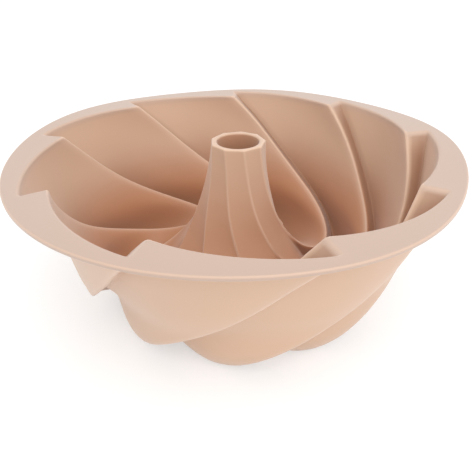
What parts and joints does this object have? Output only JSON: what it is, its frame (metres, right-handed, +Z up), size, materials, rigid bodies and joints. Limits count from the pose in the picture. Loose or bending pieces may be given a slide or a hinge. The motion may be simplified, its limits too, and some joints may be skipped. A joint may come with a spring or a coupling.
{
  "type": "fluted tube pan",
  "caption": "Round silicone baking pan with swirled fluted walls, a flat rim flange and an open centre tube.",
  "frame": {"origin": "centre of the pan's axis on the plane that it stands on", "axes": "+Z up along the tube, out of the open side of the pan; +X passes through a corner step of the opening"},
  "size_m": [0.26, 0.26, 0.1037],
  "materials": {
    "silicone": "matte"
  },
  "bodies": {
    "root": {"pan": "silicone"}
  },
  "joints": []
}
